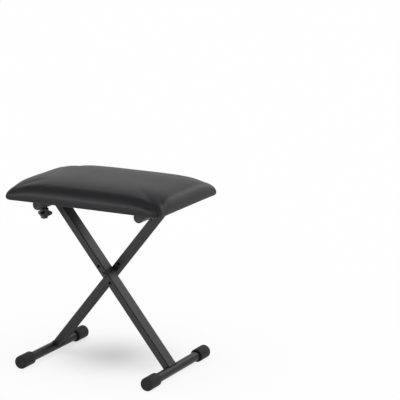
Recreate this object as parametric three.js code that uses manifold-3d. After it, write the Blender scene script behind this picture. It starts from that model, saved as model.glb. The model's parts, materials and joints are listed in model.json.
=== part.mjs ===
// Folding keyboard bench: two crossed legs on one pivot bolt carry a padded seat. The seat is hinged on the
// rear leg's top bar and is held down on the front leg's top bar by two screws with hand knobs.
// Millimetres. X runs along the seat, Y from front to back, Z up. The origin is on the floor, in the middle.
import * as THREE from "three";
import { mergeVertices } from "three/addons/utils/BufferGeometryUtils.js";
import Module from "manifold-3d";

const wasm = await Module();
wasm.setup();

// Frame
const footSpread = 388; // between the axes of the two foot bars
const pivotHeight = 258;
const upperLegLength = 244; // from the pivot to the top bar's axis
const tubeDepth = 40; // leg tube, along Y
const tubeThickness = 20; // leg tube, in the plane of the cross
const tubeWall = 1.5;
const tubeCornerRadius = 3;
const legGap = 6; // between the two leg tubes
const holePitch = 27; // between the three pivot holes of a leg
const footBarDiameter = 25.4;
const topBarDiameter = 28;
const barWall = 1.5;
const footBarOverall = 326; // with its caps
const topBarOverall = 253; // with its plugs

// Clearances
const fitGap = 0.3; // between pieces that touch on the real bench
const pivotHoleGap = 0.3; // between a bolt and the hole it turns in, all round
const hingeGap = 0.5; // between the hinge bar and its straps
const cutOverrun = 2; // how far a cutting shape runs past the piece that it cuts
const mergeDistance = 1e-4; // corners of a mesh closer than this are one corner

// Rubber foot caps
const capDiameter = 36;
const capLength = 52;
const capEndWall = 5;
const capEndRadius = 4.5; // rounded edge of the outer end
const capLipRadius = 3; // rounded edge of the inner end
const capFlatDepth = 0.4; // flat on the floor side
const capDimpleRadius = 5;
const capDimpleDepth = 0.6;

// Plastic end plugs of the top bars
const plugDiameter = 28;
const plugHeadLength = 3.5;
const plugHeadRadius = 1.6;
const plugStemLength = 16;
const plugStemGap = 0.4; // between the stem and the bar's bore
const plugRecessRadius = 9;
const plugRecessDepth = 12;

// Pivot
const pivotBoltDiameter = 8;
const boltHeadDiameter = 13;
const boltHeadHeight = 4.6;
const boltSocketDiameter = 5; // hexagon socket, across corners
const boltSocketDepth = 2.6;
const boltTail = 2.5; // bolt beyond the nut
const washerDiameter = 17;
const washerThickness = 1.6;
const nutAcrossFlats = 13;
const nutHeight = 7.5;
const spacerDiameter = 19;

// Seat
const seatLength = 472; // along X, at the cushion's widest
const seatDepth = 324; // along Y, at the cushion's widest
const seatCornerRadius = 28;
const boardThickness = 12;
const coverThickness = 1.5; // folded cover round and under the board, and the dust cover between its edges
const coverFold = 24; // how far the cover reaches in under the board
const coverFoldRadius = 6; // corners of the folded edges' inner outline
const cushionSideHeight = 20; // from the cushion's lower face to its widest line
const cushionShoulderHeight = 45; // from the lower face to where the top begins
const cushionShoulderInset = 26;
const cushionCrown = 15; // rise of the middle over the shoulder
const cushionCornerDrop = 9.5; // fall of the shoulder at the corners
const cushionDrawIn = 5; // how far the cover is drawn in under the widest line

// Hinge straps round the hinge bar, and their screws
const strapPlace = 60; // from the middle to a strap
const strapWidth = 24;
const strapThickness = 1.8;
const strapFlangeLength = 17;
const strapBendRadius = 2.5;
const strapScrewDiameter = 4.2;
const strapScrewHeadDiameter = 8.4;
const strapScrewHeadHeight = 2.4;
const strapScrewDepth = 9; // into the board
const strapScrewGap = 0.35; // between a screw and its holes, all round

// Clamp screws, knobs and tee nuts
const clampPlace = 92; // from the middle to a clamp screw
const clampScrewDiameter = 8;
const clampHoleGap = 0.5; // between the screw and its holes, all round
const knobHeight = 28;
const knobRadius = 22; // over the lobes
const knobLobes = 3;
const knobLobeRadius = 6.2;
const knobValleyRadius = 12;
const knobLobeDrop = 14.5; // from the knob's top to the middle of its lobes
const knobLobeRoot = 17; // height of a lobe beside the hub
const knobLobeTip = 7; // height of a lobe at its tip
const knobLobeEdge = 2.6; // rounding of the tip
const knobHubTopRadius = 11.5;
const knobHubRadius = 12.5; // at the lobes
const knobHubFootRadius = 9.5;
const knobHubFootEdge = 3;
const knobScrewDepth = 18; // of the screw in the knob
const knobTurn = THREE.MathUtils.degToRad(44); // one lobe's direction, seen from above
const teeNutFlangeDiameter = 20;
const teeNutFlangeThickness = 1.5;
const teeNutBarrelDiameter = 10.4;
const teeNutBarrelLength = 9;

// Facets
const barSides = 32;
const smallSides = 20;
const arcSteps = 3;
const cornerSteps = 6;
const cushionCornerSteps = 8;
const cushionSideSteps = 6; // along each straight side of the cushion
const cushionShoulderSteps = 7;

// Derived places
const footBarRadius = footBarDiameter / 2;
const topBarRadius = topBarDiameter / 2;
const capRadius = capDiameter / 2;
const footBarHeight = capRadius - capFlatDepth;
const legAngle = Math.atan2(pivotHeight - footBarHeight, footSpread / 2);
const lowerLegLength = Math.hypot(pivotHeight - footBarHeight, footSpread / 2);
const topBarX = upperLegLength * Math.cos(legAngle);
const topBarHeight = pivotHeight + upperLegLength * Math.sin(legAngle);
const legCentreY = (tubeDepth + legGap) / 2;
const coverBottom = topBarHeight + topBarRadius + fitGap;
const boardBottom = coverBottom + coverThickness + fitGap;
const boardTop = boardBottom + boardThickness;
const boardInset = cushionDrawIn + coverThickness + fitGap; // from the cushion's widest line
const pivotHoleRadius = pivotBoltDiameter / 2 + pivotHoleGap;
const clampHoleRadius = clampScrewDiameter / 2 + clampHoleGap;

// Materials
function paint(colour, roughness, metalness) {
  return new THREE.MeshStandardMaterial({ color: colour, roughness, metalness });
}
const blackPowderCoat = paint(0x17171a, 0.38, 0.35);
const blackRubber = paint(0x1d1e20, 0.72, 0);
const blackPlastic = paint(0x1a1b1d, 0.5, 0);
const blackenedSteel = paint(0x2a2b2e, 0.35, 0.8);
const zincSteel = paint(0xa9adb3, 0.3, 0.9);

const blackVinyl = paint(0x1c1c21, 0.42, 0);
const plywood = paint(0xb58f5e, 0.75, 0);
const blackNonwoven = paint(0x202022, 0.95, 0);

// Solids and cuts
function solidOf(geometry) {
  const bare = geometry.clone();
  bare.deleteAttribute("normal");
  bare.deleteAttribute("uv");
  const merged = mergeVertices(bare, mergeDistance);
  return new wasm.Manifold(
    new wasm.Mesh({
      numProp: 3,
      vertProperties: merged.attributes.position.array,
      triVerts: new Uint32Array(merged.index.array),
    }),
  );
}

function geometryOf(solid) {
  const mesh = solid.getMesh();
  const geometry = new THREE.BufferGeometry();
  geometry.setAttribute("position", new THREE.BufferAttribute(mesh.vertProperties, 3));
  geometry.setIndex(new THREE.BufferAttribute(mesh.triVerts, 1));
  geometry.computeVertexNormals();
  return geometry;
}

function cut(geometry, tools) {
  const solid = tools.reduce((rest, tool) => rest.subtract(solidOf(tool)), solidOf(geometry));
  return geometryOf(solid);
}

function common(geometry, tool) {
  return geometryOf(solidOf(geometry).intersect(solidOf(tool)));
}

function join(geometries) {
  const solids = geometries.map(solidOf);
  return geometryOf(solids.slice(1).reduce((sum, next) => sum.add(next), solids[0]));
}

// A turned solid about the Y axis. The profile's pairs are radius and place along the axis, going round the
// section with the axis on the left.
function turned(profile, sides) {
  const points = profile.map(([radius, along]) => new THREE.Vector2(radius, along));
  return new THREE.LatheGeometry(points, sides);
}

// A quarter arc of a profile, from one angle to another about its centre.
function arcPoints(centreRadius, centreAlong, radius, from, to, steps = arcSteps) {
  return Array.from({ length: steps + 1 }, (_, i) => {
    const angle = from + ((to - from) * i) / steps;
    return [centreRadius + radius * Math.cos(angle), centreAlong + radius * Math.sin(angle)];
  });
}

function rod(radius, length, sides) {
  return turned([[0, 0], [radius, 0], [radius, length], [0, length]], sides);
}

// A rod along Z, used to drill upright holes.
function drill(radius, x, y, bottom, top, sides = smallSides) {
  return rod(radius, top - bottom, sides).rotateX(Math.PI / 2).translate(x, y, bottom);
}

function hexagon(acrossFlats, length) {
  return rod(acrossFlats / 2 / Math.cos(Math.PI / 6), length, 6);
}

function roundedRectangle(width, height, radius) {
  const x = width / 2 - radius;
  const y = height / 2 - radius;
  const shape = new THREE.Shape();
  shape.absarc(x, y, radius, 0, Math.PI / 2);
  shape.absarc(-x, y, radius, Math.PI / 2, Math.PI);
  shape.absarc(-x, -y, radius, Math.PI, Math.PI * 1.5);
  shape.absarc(x, -y, radius, Math.PI * 1.5, Math.PI * 2);
  shape.closePath();
  return shape;
}

function slab(width, depth, radius, bottom, thickness) {
  const outline = roundedRectangle(width, depth, radius);
  const options = { depth: thickness, bevelEnabled: false, curveSegments: cornerSteps };
  return new THREE.ExtrudeGeometry(outline, options).translate(0, 0, bottom);
}

const bench = new THREE.Group();

function add(name, geometry, material, parent = bench) {
  const mesh = new THREE.Mesh(geometry, material);
  mesh.name = name;
  parent.add(mesh);
  return mesh;
}

// Both ends of a bar: near is the front one, far the back one.
const ends = [
  { name: "near", side: -1 },
  { name: "far", side: 1 },
];

// Leg tubes

// One leg tube, standing on Z with the pivot at the origin. Both ends are notched to fit the round bars, and
// three holes go through it from front to back: the middle one is in use, the others set other heights.
function legTube() {
  const outline = roundedRectangle(tubeThickness, tubeDepth, tubeCornerRadius);
  const innerRadius = tubeCornerRadius - tubeWall;
  outline.holes.push(roundedRectangle(tubeThickness - 2 * tubeWall, tubeDepth - 2 * tubeWall, innerRadius));
  const length = upperLegLength + lowerLegLength;
  const options = { depth: length, bevelEnabled: false, curveSegments: arcSteps };
  const tube = new THREE.ExtrudeGeometry(outline, options).translate(0, 0, -lowerLegLength);
  const crossLength = tubeDepth + 2 * cutOverrun;
  const crossRod = (radius, height, sides) =>
    rod(radius, crossLength, sides).translate(0, -crossLength / 2, height);
  const notches = [
    crossRod(footBarRadius + fitGap, -lowerLegLength, barSides),
    crossRod(topBarRadius + fitGap, upperLegLength, barSides),
  ];
  const holes = [-holePitch, 0, holePitch].map((height) =>
    crossRod(pivotHoleRadius, height, smallSides),
  );
  return cut(tube, [...notches, ...holes]);
}

const legs = [
  { name: "front_leg", lean: -1, y: -legCentreY },
  { name: "rear_leg", lean: 1, y: legCentreY },
];
for (const leg of legs) {
  const tube = add(leg.name + "_tube", legTube(), blackPowderCoat);
  tube.position.set(0, leg.y, pivotHeight);
  tube.rotation.y = leg.lean * (Math.PI / 2 - legAngle);
}

// Foot bars and caps

// A round tube along Y, centred on the origin.
function barTube(radius, length) {
  const inner = radius - barWall;
  const half = length / 2;
  const profile = [[inner, -half], [radius, -half], [radius, half], [inner, half], [inner, -half]];
  return turned(profile, barSides);
}

// A cap for the bar's near end: it points to -Y, with its outer face at zero and its mouth at +capLength.
function footCap() {
  const bore = footBarRadius + fitGap;
  const outerFlat = capRadius - capEndRadius;
  const profile = [
    [0, capDimpleDepth],
    [capDimpleRadius - capDimpleDepth, capDimpleDepth],
    [capDimpleRadius, 0],
    ...arcPoints(outerFlat, capEndRadius, capEndRadius, -Math.PI / 2, 0),
    ...arcPoints(capRadius - capLipRadius, capLength - capLipRadius, capLipRadius, 0, Math.PI / 2),
    [bore, capLength],
    [bore, capEndWall],
    [0, capEndWall],
  ];
  const floorCut = new THREE.BoxGeometry(capDiameter, capLength + 2 * cutOverrun, capFlatDepth + cutOverrun);
  const cutCentre = -capRadius + capFlatDepth - (capFlatDepth + cutOverrun) / 2;
  floorCut.translate(0, capLength / 2, cutCentre);
  return cut(turned(profile, barSides), [floorCut]);
}

const footBarLength = footBarOverall - 2 * (capEndWall + fitGap);
for (const leg of legs) {
  const x = -leg.lean * (footSpread / 2);
  const bar = add(leg.name + "_foot_bar", barTube(footBarRadius, footBarLength), blackPowderCoat);
  bar.position.set(x, 0, footBarHeight);
  for (const end of ends) {
    const cap = add("foot_cap_" + leg.name + "_" + end.name, footCap(), blackRubber);
    cap.position.set(x, (end.side * footBarOverall) / 2, footBarHeight);
    cap.rotation.z = end.side > 0 ? Math.PI : 0;
  }
}

// Top bars and plugs

// A plug for the bar's near end: head outside, hollow stem inside.
function endPlug() {
  const headRadius = plugDiameter / 2;
  const stem = topBarRadius - barWall - plugStemGap;
  const length = plugHeadLength + plugStemLength;
  const profile = [
    [0, 0],
    ...arcPoints(headRadius - plugHeadRadius, plugHeadRadius, plugHeadRadius, -Math.PI / 2, 0),
    [headRadius, plugHeadLength],
    [stem, plugHeadLength],
    [stem, length],
    [plugRecessRadius, length],
    [plugRecessRadius, length - plugRecessDepth],
    [0, length - plugRecessDepth],
  ];
  return turned(profile, barSides);
}

const topBarLength = topBarOverall - 2 * (plugHeadLength + fitGap);
const topBars = [
  { name: "clamp_bar", x: -topBarX, drilled: true },
  { name: "hinge_bar", x: topBarX, drilled: false },
];
for (const top of topBars) {
  const holes = ends.map((end) =>
    drill(clampHoleRadius, 0, end.side * clampPlace, -topBarDiameter, topBarDiameter),
  );
  const tube = barTube(topBarRadius, topBarLength);
  const bar = add(top.name, top.drilled ? cut(tube, holes) : tube, blackPowderCoat);
  bar.position.set(top.x, 0, topBarHeight);
  for (const end of ends) {
    const plug = add("end_plug_" + top.name + "_" + end.name, endPlug(), blackPlastic);
    plug.position.set(top.x, (end.side * topBarOverall) / 2, topBarHeight);
    plug.rotation.z = end.side > 0 ? Math.PI : 0;
  }
}

// Pivot: a button-head bolt from the front, a nylon spacer between the legs, a washer and nut at the back

const legsFront = -legCentreY - tubeDepth / 2;
const legsBack = -legsFront;
const washerFront = legsBack + fitGap;
const nutFront = washerFront + washerThickness + fitGap;

function pivotBolt() {
  const headRadius = boltHeadDiameter / 2;
  const shankRadius = pivotBoltDiameter / 2;
  const headBack = legsFront - fitGap;
  const headFront = headBack - boltHeadHeight;
  const flatRadius = headRadius - boltHeadHeight / 2;
  const tail = nutFront + nutHeight + boltTail;
  const chamfer = pivotHoleGap * 2;
  const profile = [
    [0, headFront],
    [flatRadius, headFront],
    [headRadius - boltHeadHeight / 8, headFront + boltHeadHeight / 3],
    [headRadius, headBack - boltHeadHeight / 4],
    [headRadius, headBack],
    [shankRadius, headBack],
    [shankRadius, tail - chamfer],
    [shankRadius - chamfer, tail],
    [0, tail],
  ];
  const socket = rod(boltSocketDiameter / 2, boltSocketDepth + cutOverrun, 6);
  socket.translate(0, headFront - cutOverrun, 0);
  return cut(turned(profile, smallSides), [socket]);
}

function ring(outer, from, thickness) {
  const inner = pivotHoleRadius;
  const to = from + thickness;
  return turned([[inner, from], [outer, from], [outer, to], [inner, to], [inner, from]], smallSides);
}

function pivotNut() {
  const bore = rod(pivotHoleRadius, nutHeight + 2 * cutOverrun, smallSides).translate(0, -cutOverrun, 0);
  return cut(hexagon(nutAcrossFlats, nutHeight), [bore]).translate(0, nutFront, 0);
}

const spacerThickness = legGap - 2 * fitGap;
const pivotPieces = [
  ["pivot_bolt", pivotBolt(), blackenedSteel],
  ["pivot_spacer", ring(spacerDiameter / 2, -spacerThickness / 2, spacerThickness), blackPlastic],
  ["pivot_washer", ring(washerDiameter / 2, washerFront, washerThickness), blackenedSteel],
  ["pivot_nut", pivotNut(), blackenedSteel],
];
for (const [name, geometry, material] of pivotPieces) {
  add(name, geometry, material).position.z = pivotHeight;
}

// Seat board and dust cover

// Places of the strap screws beside the hinge bar.
const strapScrewReach = topBarRadius + hingeGap + strapThickness + strapBendRadius + strapFlangeLength / 2;
const screwSides = [
  { name: "inner", side: -1 },
  { name: "outer", side: 1 },
];
const strapScrews = ends.flatMap((end) =>
  screwSides.map((screw) => ({
    name: "strap_screw_" + end.name + "_" + screw.name,
    x: topBarX + screw.side * strapScrewReach,
    y: end.side * strapPlace,
  })),
);
const screwHoleRadius = strapScrewDiameter / 2 + strapScrewGap;

// Holes for all clamp screws and strap screws, up through what lies under the board.
function screwHoles(bottom, top) {
  return [
    ...ends.map((end) => drill(clampHoleRadius, -topBarX, end.side * clampPlace, bottom, top)),
    ...strapScrews.map(({ x, y }) => drill(screwHoleRadius, x, y, bottom, top)),
  ];
}

// A slab as large as the seat, drawn in all round by an inset.
function seatSlab(inset, bottom, top, radius = seatCornerRadius - inset) {
  return slab(seatLength - 2 * inset, seatDepth - 2 * inset, radius, bottom, top - bottom);
}

function seatBoard() {
  const board = seatSlab(boardInset, boardBottom, boardTop);
  const below = boardBottom - cutOverrun;
  const above = boardTop + cutOverrun;
  const pocket = boardTop - teeNutFlangeThickness - fitGap;
  const clampHoles = ends.flatMap((end) => [
    drill(teeNutBarrelDiameter / 2 + fitGap, -topBarX, end.side * clampPlace, below, above),
    drill(teeNutFlangeDiameter / 2 + fitGap, -topBarX, end.side * clampPlace, pocket, above),
  ]);
  const pilots = strapScrews.map(({ x, y }) =>
    drill(screwHoleRadius, x, y, below, boardBottom + strapScrewDepth + fitGap),
  );
  return cut(board, [...clampHoles, ...pilots]);
}

// The dust cover lies under the board, inside the cover's folded edges.
function dustCover() {
  const top = coverBottom + coverThickness;
  const sheet = seatSlab(boardInset + coverFold + fitGap, coverBottom, top, coverFoldRadius - fitGap);
  return cut(sheet, screwHoles(coverBottom - cutOverrun, top + cutOverrun));
}

add("seat_board", seatBoard(), plywood);
add("seat_dust_cover", dustCover(), blackNonwoven);

// Seat cushion

// Outline of the seat as points round a rectangle with rounded corners, drawn in by an inset.
function seatOutline(inset) {
  const radius = seatCornerRadius - inset / 2;
  const x = seatLength / 2 - inset - radius;
  const y = seatDepth / 2 - inset - radius;
  const corners = [[x, y], [-x, y], [-x, -y], [x, -y]];
  return corners.flatMap(([cx, cy], corner) => {
    const arc = Array.from({ length: cushionCornerSteps + 1 }, (_, i) => {
      const angle = (Math.PI / 2) * (corner + i / cushionCornerSteps);
      return [cx + radius * Math.cos(angle), cy + radius * Math.sin(angle)];
    });
    const turn = (Math.PI / 2) * (corner + 1);
    const [nextX, nextY] = corners[(corner + 1) % corners.length];
    const straight = Array.from({ length: cushionSideSteps - 1 }, (_, i) => {
      const share = (i + 1) / cushionSideSteps;
      const alongX = cx + (nextX - cx) * share;
      const alongY = cy + (nextY - cy) * share;
      return [alongX + radius * Math.cos(turn), alongY + radius * Math.sin(turn)];
    });
    return [...arc, ...straight];
  });
}

// Reach of a place towards the shoulder line: 0 in the middle and 1 on the middle of each side, with lines
// of equal reach like rounded rectangles. The corners lie beyond 1.
const reachPower = 4;
const crownPower = 2.6;
function reachShare(x, y) {
  const alongX = Math.abs(x) / (seatLength / 2 - cushionShoulderInset);
  const alongY = Math.abs(y) / (seatDepth / 2 - cushionShoulderInset);
  return (alongX ** reachPower + alongY ** reachPower) ** (1 / reachPower);
}

const shoulderOutline = seatOutline(cushionShoulderInset);
const cornerReachShare = Math.max(...shoulderOutline.map(([x, y]) => reachShare(x, y)));

// Height of the top over the cushion's lower face: it rises to the crown and falls away at the corners.
function topHeight(x, y) {
  const reach = reachShare(x, y);
  const rise = cushionCrown * (1 - Math.min(reach, 1) ** crownPower);
  const drop = (cushionCornerDrop * Math.max(reach - 1, 0)) / (cornerReachShare - 1);
  return cushionShoulderHeight + rise - drop;
}

// The cover's side under the widest line is drawn in on a quarter ellipse.
function drawnInRings() {
  return Array.from({ length: arcSteps }, (_, i) => {
    const angle = (Math.PI / 2) * (i / arcSteps);
    const inset = cushionDrawIn * (1 - Math.sin(angle));
    const height = cushionSideHeight * (1 - Math.cos(angle));
    return seatOutline(inset).map(([x, y]) => [x, y, coverBottom + height]);
  });
}

// Over the widest line it rolls in to the shoulder on another quarter ellipse.
function shoulderRings() {
  return Array.from({ length: cushionShoulderSteps + 1 }, (_, i) => {
    const angle = (Math.PI / 2) * (i / cushionShoulderSteps);
    const ring = seatOutline(cushionShoulderInset * (1 - Math.cos(angle)));
    return ring.map(([x, y], k) => {
      const rise = topHeight(...shoulderOutline[k]) - cushionSideHeight;
      return [x, y, coverBottom + cushionSideHeight + rise * Math.sin(angle)];
    });
  });
}

// The top: the shoulder line drawn towards the middle in rings.
const crownRingShares = [0.92, 0.8, 0.66, 0.5, 0.33, 0.16];
function crownRings() {
  return crownRingShares.map((share) =>
    shoulderOutline.map(([x, y]) => [x * share, y * share, coverBottom + topHeight(x * share, y * share)]),
  );
}

function cushionBody() {
  const rings = [...drawnInRings(), ...shoulderRings(), ...crownRings()];
  const count = shoulderOutline.length;
  const points = [...rings.flat(), [0, 0, coverBottom], [0, 0, coverBottom + topHeight(0, 0)]];
  const lowest = rings.length * count;
  const highest = lowest + 1;
  const lastRing = lowest - count;
  const faces = [];
  for (let i = 0; i < count; i++) {
    const next = (i + 1) % count;
    faces.push(lowest, next, i);
    for (let low = 0; low < lastRing; low += count) {
      const high = low + count;
      faces.push(low + i, low + next, high + next);
      faces.push(low + i, high + next, high + i);
    }
    faces.push(lastRing + i, lastRing + next, highest);
  }
  const geometry = new THREE.BufferGeometry();
  geometry.setAttribute("position", new THREE.Float32BufferAttribute(points.flat(), 3));
  geometry.setIndex(faces);
  return geometry;
}

// Foam and cover sit over the board like a lid, and the cover's edges are folded in under it. The screw
// holes reach the folded edges only on a shorter seat.
function seatCushion() {
  const boardRoom = seatSlab(boardInset - fitGap, boardBottom - fitGap, boardTop + fitGap);
  const opening = seatSlab(boardInset + coverFold, coverBottom - cutOverrun, boardTop, coverFoldRadius);
  const holes = screwHoles(coverBottom - cutOverrun, boardBottom + boardThickness / 2);
  return cut(cushionBody(), [boardRoom, opening, ...holes]);
}

add("seat_cushion", seatCushion(), blackVinyl);

// Hinge straps: a strip bent round the underside of the hinge bar, with a flange on each side

function hingeStrap() {
  const inner = topBarRadius + hingeGap;
  const outer = inner + strapThickness;
  const flangeTop = topBarRadius;
  const flangeBottom = flangeTop - strapThickness;
  const reach = outer + strapBendRadius + strapFlangeLength;
  const bend = strapBendRadius;
  const shape = new THREE.Shape();
  shape.moveTo(-reach, flangeTop);
  shape.lineTo(-reach, flangeBottom);
  shape.lineTo(-outer - bend, flangeBottom);
  shape.absarc(-outer - bend, flangeBottom - bend, bend, Math.PI / 2, 0, true);
  shape.lineTo(-outer, 0);
  shape.absarc(0, 0, outer, Math.PI, 2 * Math.PI, false);
  shape.lineTo(outer, flangeBottom - bend);
  shape.absarc(outer + bend, flangeBottom - bend, bend, Math.PI, Math.PI / 2, true);
  shape.lineTo(reach, flangeBottom);
  shape.lineTo(reach, flangeTop);
  shape.lineTo(inner, flangeTop);
  shape.lineTo(inner, 0);
  shape.absarc(0, 0, inner, 2 * Math.PI, Math.PI, true);
  shape.lineTo(-inner, flangeTop);
  shape.closePath();
  const options = { depth: strapWidth, bevelEnabled: false, curveSegments: barSides / 4 };
  const strip = new THREE.ExtrudeGeometry(shape, options);
  strip.rotateX(Math.PI / 2).translate(0, strapWidth / 2, 0);
  const below = flangeBottom - cutOverrun;
  const above = flangeTop + cutOverrun;
  const holes = screwSides.map((screw) =>
    drill(screwHoleRadius, screw.side * strapScrewReach, 0, below, above),
  );
  return cut(strip, holes);
}

for (const end of ends) {
  const strap = add("hinge_strap_" + end.name, hingeStrap(), blackPowderCoat);
  strap.position.set(topBarX, end.side * strapPlace, topBarHeight);
}

// A pan-head screw: its head lies under the flange, and its shank goes up into the board.
function strapScrew() {
  const headRadius = strapScrewHeadDiameter / 2;
  const headTop = topBarHeight + topBarRadius - strapThickness - fitGap;
  const headBottom = headTop - strapScrewHeadHeight;
  const tip = boardBottom + strapScrewDepth;
  const shank = strapScrewDiameter / 2;
  const rounding = strapScrewHeadHeight / 2;
  const profile = [
    [0, headBottom],
    [headRadius - rounding, headBottom],
    [headRadius, headBottom + rounding],
    [headRadius, headTop],
    [shank, headTop],
    [shank, tip - strapScrewDiameter],
    [0, tip],
  ];
  return turned(profile, smallSides).rotateX(Math.PI / 2);
}

for (const { name, x, y } of strapScrews) {
  add(name, strapScrew(), zincSteel).position.set(x, y, 0);
}

// Clamp screws, knobs and tee nuts

const knobTop = topBarHeight - topBarRadius - fitGap;
const lobeMiddle = knobTop - knobLobeDrop;

// Outline of the knob's lobes, seen from above: round lobes joined by hollow arcs.
function lobeOutline() {
  const lobePlace = knobRadius - knobLobeRadius;
  const halfPitch = Math.PI / knobLobes;
  const reach = knobLobeRadius + knobValleyRadius;
  const along = lobePlace * Math.cos(halfPitch);
  const valleyPlace = along + Math.sqrt(along ** 2 - lobePlace ** 2 + reach ** 2);
  const meet = Math.atan2(valleyPlace * Math.sin(halfPitch), valleyPlace * Math.cos(halfPitch) - lobePlace);
  const shape = new THREE.Shape();
  for (let lobe = 0; lobe < knobLobes; lobe++) {
    const centre = 2 * halfPitch * lobe + knobTurn;
    const valley = centre + halfPitch;
    const at = (place, angle) => [place * Math.cos(angle), place * Math.sin(angle)];
    shape.absarc(...at(lobePlace, centre), knobLobeRadius, centre - meet, centre + meet, false);
    const start = centre + meet + Math.PI;
    const end = 2 * valley - start + 2 * Math.PI;
    shape.absarc(...at(valleyPlace, valley), knobValleyRadius, start, end, true);
  }
  shape.closePath();
  return shape;
}

// The lobes are high beside the hub and thin out to rounded tips.
function knobLobesSolid() {
  const root = knobLobeRoot / 2;
  const tip = knobLobeTip / 2;
  const options = { depth: knobLobeRoot, bevelEnabled: false, curveSegments: arcSteps + 1 };
  const prism = new THREE.ExtrudeGeometry(lobeOutline(), options).translate(0, 0, lobeMiddle - root);
  const rim = knobRadius - knobLobeEdge;
  const lens = turned(
    [
      [0, lobeMiddle - root - fitGap],
      [knobHubFootRadius, lobeMiddle - root],
      ...arcPoints(rim, lobeMiddle - tip + knobLobeEdge, knobLobeEdge, -Math.PI / 2, 0),
      ...arcPoints(rim, lobeMiddle + tip - knobLobeEdge, knobLobeEdge, 0, Math.PI / 2),
      [knobHubFootRadius, lobeMiddle + root],
      [0, lobeMiddle + root + fitGap],
    ],
    barSides,
  );
  return common(prism, lens.rotateX(Math.PI / 2));
}

// The hand knob: a hub with lobes round it, bored from above for its screw.
function handKnob() {
  const bottom = knobTop - knobHeight;
  const foot = knobHubFootRadius - knobHubFootEdge;
  const hub = turned(
    [
      [0, bottom],
      ...arcPoints(foot, bottom + knobHubFootEdge, knobHubFootEdge, -Math.PI / 2, 0),
      [knobHubRadius, lobeMiddle],
      [knobHubTopRadius, knobTop],
      [0, knobTop],
    ],
    barSides,
  ).rotateX(Math.PI / 2);
  const boreBottom = knobTop - knobScrewDepth - fitGap;
  const bore = drill(clampScrewDiameter / 2 + fitGap, 0, 0, boreBottom, knobTop + cutOverrun);
  return cut(join([knobLobesSolid(), hub]), [bore]);
}

// The screw goes up through the clamp bar and ends just inside the bar's round top, under the tee nut.
function clampScrew() {
  const radius = clampScrewDiameter / 2;
  const top = topBarHeight + Math.sqrt(topBarRadius ** 2 - radius ** 2);
  return drill(radius, 0, 0, knobTop - knobScrewDepth, top);
}

function teeNut() {
  const bore = clampHoleRadius;
  const barrel = teeNutBarrelDiameter / 2;
  const flange = teeNutFlangeDiameter / 2;
  const top = boardTop;
  const under = top - teeNutFlangeThickness;
  const bottom = under - teeNutBarrelLength;
  const profile = [
    [bore, bottom],
    [barrel, bottom],
    [barrel, under],
    [flange, under],
    [flange, top],
    [bore, top],
    [bore, bottom],
  ];
  return turned(profile, smallSides).rotateX(Math.PI / 2);
}

for (const end of ends) {
  const y = end.side * clampPlace;
  const pieces = [
    ["clamp_knob_" + end.name, handKnob(), blackPlastic],
    ["clamp_screw_" + end.name, clampScrew(), zincSteel],
    ["tee_nut_" + end.name, teeNut(), zincSteel],
  ];
  for (const [name, geometry, material] of pieces) {
    add(name, geometry, material).position.set(-topBarX, y, 0);
  }
}

export default bench;
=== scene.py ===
import json
import math

import bmesh
import bpy
import numpy as np
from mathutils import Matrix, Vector
from mathutils.kdtree import KDTree


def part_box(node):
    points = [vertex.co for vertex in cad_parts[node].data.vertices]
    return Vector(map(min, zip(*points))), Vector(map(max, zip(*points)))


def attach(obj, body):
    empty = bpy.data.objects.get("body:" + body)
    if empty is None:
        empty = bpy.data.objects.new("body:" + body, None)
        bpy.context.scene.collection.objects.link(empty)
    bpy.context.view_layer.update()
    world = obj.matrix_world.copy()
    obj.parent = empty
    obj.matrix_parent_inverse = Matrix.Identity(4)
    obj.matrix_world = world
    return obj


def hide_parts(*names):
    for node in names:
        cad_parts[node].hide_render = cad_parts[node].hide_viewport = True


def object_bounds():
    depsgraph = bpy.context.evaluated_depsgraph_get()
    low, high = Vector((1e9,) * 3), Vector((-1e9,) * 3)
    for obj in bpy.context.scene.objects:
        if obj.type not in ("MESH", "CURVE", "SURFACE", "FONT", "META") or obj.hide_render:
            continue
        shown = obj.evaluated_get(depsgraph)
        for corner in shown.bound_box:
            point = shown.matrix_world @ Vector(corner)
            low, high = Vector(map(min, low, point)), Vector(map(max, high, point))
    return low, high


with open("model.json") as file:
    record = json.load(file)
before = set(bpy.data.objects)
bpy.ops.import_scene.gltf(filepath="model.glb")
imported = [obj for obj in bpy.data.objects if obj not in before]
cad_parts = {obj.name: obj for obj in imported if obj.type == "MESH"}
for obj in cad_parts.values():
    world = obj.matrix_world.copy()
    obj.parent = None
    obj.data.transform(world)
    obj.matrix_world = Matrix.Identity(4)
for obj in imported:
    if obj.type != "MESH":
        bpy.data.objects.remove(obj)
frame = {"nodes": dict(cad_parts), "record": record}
cad_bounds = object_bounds()
nodes = frame["nodes"]

# Lengths are in metres; a small one is written as a number of millimetres.
MM = 0.001


# Shader writing

class Wire:
    """What comes out of a shader node. Sums and products of wires add the nodes that work them out."""

    def __init__(self, recipe, socket):
        self.recipe = recipe
        self.socket = socket

    def math(self, operation, *values):
        settings = {"operation": operation}
        return self.recipe.node("ShaderNodeMath", settings, dict(enumerate(values)))

    def __add__(self, other):
        return self.math("ADD", self, other)

    __radd__ = __add__

    def __sub__(self, other):
        return self.math("SUBTRACT", self, other)

    def __rsub__(self, other):
        return self.math("SUBTRACT", other, self)

    def __mul__(self, other):
        return self.math("MULTIPLY", self, other)

    __rmul__ = __mul__

    def sine(self):
        return self.math("SINE", self)

    def or_else(self, other):
        """The larger of two shares."""
        return self.math("MAXIMUM", self, other)

    def between(self, low, high):
        """0 up to low, 1 from high on, and smooth from one to the other."""
        settings = {"interpolation_type": "SMOOTHSTEP"}
        values = {"Value": self, "From Min": low, "From Max": high}
        return self.recipe.node("ShaderNodeMapRange", settings, values)


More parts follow.
